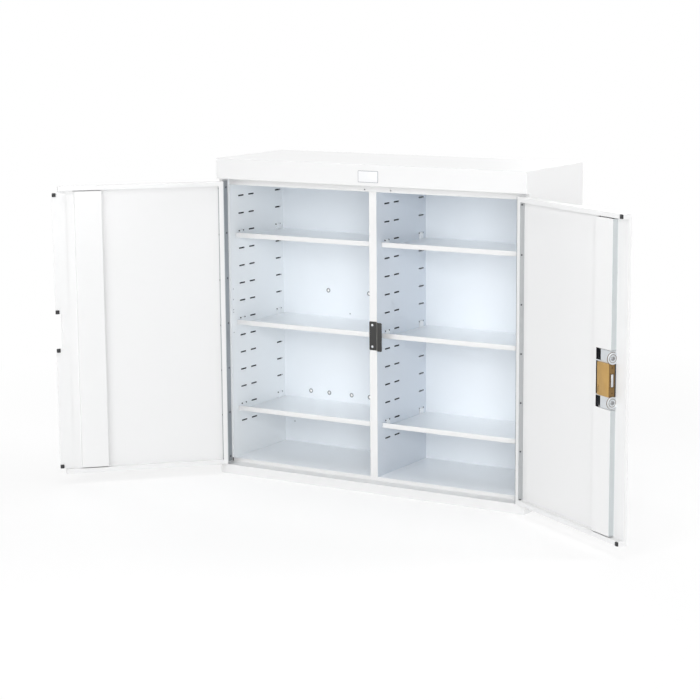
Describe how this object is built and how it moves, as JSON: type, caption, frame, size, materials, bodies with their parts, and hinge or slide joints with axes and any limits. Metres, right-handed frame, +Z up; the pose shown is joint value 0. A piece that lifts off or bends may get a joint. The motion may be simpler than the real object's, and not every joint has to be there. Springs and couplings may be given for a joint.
{
  "type": "pharmacy cabinet",
  "caption": "White sheet-steel pharmacy cabinet with hinged double doors, a middle divider, adjustable clip-in shelves and a lever lock.",
  "frame": {"origin": "middle of the carcass footprint, on the plane of its underside", "axes": "+X to the cabinet's right as seen from the front, +Y to the back, +Z up; the doors are stored open, as pictured"},
  "size_m": [1.6144, 0.6451, 0.864],
  "materials": {
    "white_paint": "smooth gloss powder coat on sheet steel",
    "shelf_paint": "gloss powder coat on sheet steel",
    "hinge_steel": "rolled piano hinge, lightly painted over",
    "zinc_steel": "zinc plated, satin",
    "brass": "satin rolled brass",
    "black_rubber": "matt",
    "dark_strike": "dark phosphate, satin",
    "grey_plastic": "moulded",
    "label_plastic": "plain bare plate"
  },
  "bodies": {
    "carcass": {"back_panel": "white_paint", "bottom_panel": "white_paint", "ceiling_panel": "white_paint", "divider": "white_paint", "floor_tray": "white_paint", "head_stop": "white_paint", "label_plate": "label_plastic", "left_hinge_frame_leaf": "hinge_steel", "left_hinge_frame_rivets": "zinc_steel", "left_hinge_pin": "hinge_steel", "left_liner": "white_paint", "left_lower_shelf": "shelf_paint", "left_middle_shelf": "shelf_paint", "left_shelf_clips": "white_paint", "left_side": "white_paint", "left_upper_shelf": "shelf_paint", "right_hinge_frame_leaf": "hinge_steel", "right_hinge_frame_rivets": "zinc_steel", "right_hinge_pin": "hinge_steel", "right_liner": "white_paint", "right_lower_shelf": "shelf_paint", "right_middle_shelf": "shelf_paint", "right_shelf_clips": "white_paint", "right_side": "white_paint", "right_upper_shelf": "shelf_paint", "strike_plate": "dark_strike", "strike_rivets": "zinc_steel", "top_tray": "white_paint", "wall_grommets": "grey_plastic"},
    "left_door": {"left_door_buffers": "black_rubber", "left_door_channel": "white_paint", "left_door_lower_lap": "white_paint", "left_door_pan": "white_paint", "left_door_skin": "white_paint", "left_door_upper_lap": "white_paint", "left_hinge_door_leaf": "hinge_steel", "left_hinge_door_rivets": "zinc_steel"},
    "right_door": {"keyhole_escutcheon": "zinc_steel", "lock_bracket": "zinc_steel", "lock_cap": "brass", "lock_case": "brass", "lock_levers": "brass", "lock_post": "brass", "lock_screws": "zinc_steel", "right_door_buffers": "black_rubber", "right_door_channel": "white_paint", "right_door_pan": "white_paint", "right_door_skin": "white_paint", "right_hinge_door_leaf": "hinge_steel", "right_hinge_door_rivets": "zinc_steel"},
    "lock_bolt": {"lock_bolt": "zinc_steel"}
  },
  "joints": [
    {"name": "left_door_hinge", "type": "hinge", "parent": "carcass", "child": "left_door", "pos_m": [-0.4535, -0.1475, 0.415], "axis": [0, 0, -1], "range_deg": [-134.5, 40.5]},
    {"name": "right_door_hinge", "type": "hinge", "parent": "carcass", "child": "right_door", "pos_m": [0.4535, -0.1475, 0.415], "axis": [0, 0, 1], "range_deg": [-148.5, 26.5]},
    {"name": "lock_bolt_slide", "type": "slide", "parent": "right_door", "child": "lock_bolt", "axis": [0.8526, -0.5225, 0], "range_m": [0, 0.013]}
  ]
}
